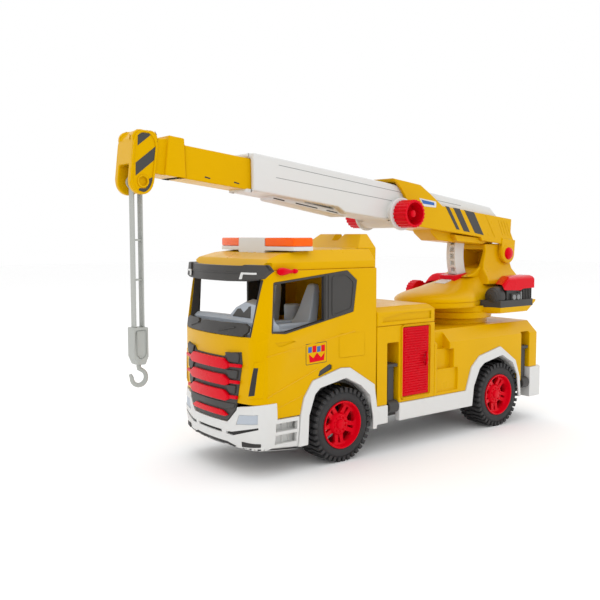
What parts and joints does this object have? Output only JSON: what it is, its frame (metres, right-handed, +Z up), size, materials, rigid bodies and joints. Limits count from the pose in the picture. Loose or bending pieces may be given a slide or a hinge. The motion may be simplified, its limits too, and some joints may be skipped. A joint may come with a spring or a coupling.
{
  "type": "toy crane truck",
  "caption": "Toy crane truck: four-wheeled cab truck with a turning superstructure, a rack-raised telescopic boom, a swinging hanger with a hook, fold-out stabiliser legs and side lockers.",
  "frame": {"origin": "On the ground under the middle of the whole truck's bounding box, in the plane of symmetry.", "axes": "+X points to the truck's rear, so the cab and the boom's tip are at -X. +Y is the passenger's side, with the boom's lifting knob. +Z is up."},
  "size_m": [0.5867, 0.1636, 0.356],
  "materials": {
    "yellow_body": "satin moulded ABS, traffic yellow",
    "white_trim": "satin moulded ABS, white",
    "red_plastic": "satin moulded ABS, signal red",
    "dark_plastic": "matt moulded plastic, dark grey",
    "grey_interior": "matt moulded plastic, light blue grey",
    "hanger_grey": "semi-matt flexible plastic, light grey",
    "tyre_rubber": "soft rubber-like plastic, nearly black",
    "orange_lens": "translucent orange, ribbed",
    "axle_steel": "drawn steel rod"
  },
  "bodies": {
    "truck": {"chassis": "dark_plastic", "lower_body": "white_trim", "front_bumper": "white_trim", "wheel_liners": "dark_plastic", "cab_shell": "yellow_body", "cab_interior": "grey_interior", "seats": "grey_interior", "windscreen_trim": "dark_plastic", "side_window_trims": "dark_plastic", "sun_visor": "dark_plastic", "visor_lamps": "white_trim", "light_bar_base": "white_trim", "beacon_lenses": "orange_lens", "roof_horns": "red_plastic", "grille_frame": "dark_plastic", "grille_slats": "red_plastic", "headlamps": "grey_interior", "upper_body": "yellow_body", "cab_roof": "yellow_body", "locker_box": "yellow_body", "locker_lid": "yellow_body"},
    "front_wheels": {"front_axle": "axle_steel", "front_tyre_left": "tyre_rubber", "front_tyre_right": "tyre_rubber", "front_rim_left": "red_plastic", "front_rim_right": "red_plastic"},
    "rear_wheels": {"rear_axle": "axle_steel", "rear_tyre_left": "tyre_rubber", "rear_tyre_right": "tyre_rubber", "rear_rim_left": "red_plastic", "rear_rim_right": "red_plastic"},
    "steering": {"steering_wheel": "grey_interior"},
    "left_door": {"locker_door_left": "red_plastic"},
    "right_door": {"locker_door_right": "red_plastic"},
    "front_left_leg": {"front_leg_left": "dark_plastic"},
    "front_right_leg": {"front_leg_right": "dark_plastic"},
    "rear_left_leg": {"rear_leg_left": "dark_plastic"},
    "rear_right_leg": {"rear_leg_right": "dark_plastic"},
    "turntable": {"superstructure": "yellow_body", "turning_clip": "dark_plastic", "engine_trays": "dark_plastic", "fan_cowls": "dark_plastic", "engine_blocks": "grey_interior", "engine_hoods": "red_plastic", "column_collar": "red_plastic"},
    "lift_drive": {"lift_knob": "red_plastic", "lift_pinion": "dark_plastic"},
    "boom": {"boom_base": "yellow_body", "boom_main": "white_trim", "lift_column": "white_trim", "boom_pin": "red_plastic"},
    "extension": {"boom_inner": "yellow_body", "boom_head": "yellow_body", "head_pin": "axle_steel"},
    "extension_drive": {"extension_pinion": "dark_plastic", "extension_knobs": "red_plastic"},
    "pulley": {"head_pulley": "hanger_grey"},
    "hanger": {"hanger_bars": "hanger_grey", "hook_block": "hanger_grey"},
    "hook": {"hook": "hanger_grey"}
  },
  "joints": [
    {"name": "front_wheels_spin", "type": "hinge", "parent": "truck", "child": "front_wheels", "pos_m": [-0.0687, 0, 0.042], "axis": [0, 1, 0], "continuous": true},
    {"name": "rear_wheels_spin", "type": "hinge", "parent": "truck", "child": "rear_wheels", "pos_m": [0.2028, 0, 0.042], "axis": [0, 1, 0], "continuous": true},
    {"name": "steering_turn", "type": "hinge", "parent": "truck", "child": "steering", "pos_m": [-0.1467, -0.036, 0.158], "axis": [0.5736, 0, 0.8192], "continuous": true},
    {"name": "turntable_turn", "type": "hinge", "parent": "truck", "child": "turntable", "pos_m": [0.1963, 0, 0.15], "axis": [0, 0, 1], "continuous": true},
    {"name": "boom_lift", "type": "hinge", "parent": "turntable", "child": "boom", "pos_m": [0.2733, 0, 0.227], "axis": [0, 1, 0], "range_deg": [-1.5, 40]},
    {"name": "lift_knob_turn", "type": "hinge", "parent": "turntable", "child": "lift_drive", "pos_m": [0.19272, 0, 0.17211], "axis": [0, 1, 0], "range_deg": [-249.5, 10]},
    {"name": "boom_extend", "type": "slide", "parent": "boom", "child": "extension", "axis": [-0.994, 0, 0.1097], "range_m": [-0.03, 0.11]},
    {"name": "extension_knob_turn", "type": "hinge", "parent": "boom", "child": "extension_drive", "pos_m": [0.06198, 0, 0.2785], "axis": [0, 1, 0], "range_deg": [-526, 144]},
    {"name": "pulley_turn", "type": "hinge", "parent": "extension", "child": "pulley", "pos_m": [-0.27921, 0, 0.3056], "axis": [0, 1, 0], "range_deg": [-40.5, 2]},
    {"name": "hoist_swing", "type": "hinge", "parent": "pulley", "child": "hanger", "pos_m": [-0.27921, 0, 0.3056], "axis": [0, 1, 0], "range_deg": [-8, 30]},
    {"name": "hook_swivel", "type": "hinge", "parent": "hanger", "child": "hook", "pos_m": [-0.27921, 0, 0.125], "axis": [0, 0, 1], "continuous": true},
    {"name": "left_door_open", "type": "hinge", "parent": "truck", "child": "left_door", "pos_m": [0.0219, -0.0758, 0.1], "axis": [0, 0, -1], "range_deg": [0, 100]},
    {"name": "right_door_open", "type": "hinge", "parent": "truck", "child": "right_door", "pos_m": [0.0219, 0.0758, 0.1], "axis": [0, 0, 1], "range_deg": [0, 100]},
    {"name": "front_left_leg_fold", "type": "hinge", "parent": "truck", "child": "front_left_leg", "pos_m": [0.00655, -0.0715, 0.0525], "axis": [1, 0, 0], "range_deg": [0, 175]},
    {"name": "front_right_leg_fold", "type": "hinge", "parent": "truck", "child": "front_right_leg", "pos_m": [0.00655, 0.0715, 0.0525], "axis": [-1, 0, 0], "range_deg": [0, 175]},
    {"name": "rear_left_leg_fold", "type": "hinge", "parent": "truck", "child": "rear_left_leg", "pos_m": [0.2558, -0.0715, 0.0525], "axis": [1, 0, 0], "range_deg": [0, 175]},
    {"name": "rear_right_leg_fold", "type": "hinge", "parent": "truck", "child": "rear_right_leg", "pos_m": [0.2558, 0.0715, 0.0525], "axis": [-1, 0, 0], "range_deg": [0, 175]}
  ],
  "couplings": [
    {"joint": "lift_knob_turn", "follows": "boom_lift", "ratio": -6.2222},
    {"joint": "extension_knob_turn", "follows": "boom_extend", "rad_per_m": -83.333},
    {"joint": "pulley_turn", "follows": "boom_lift", "ratio": -1}
  ]
}
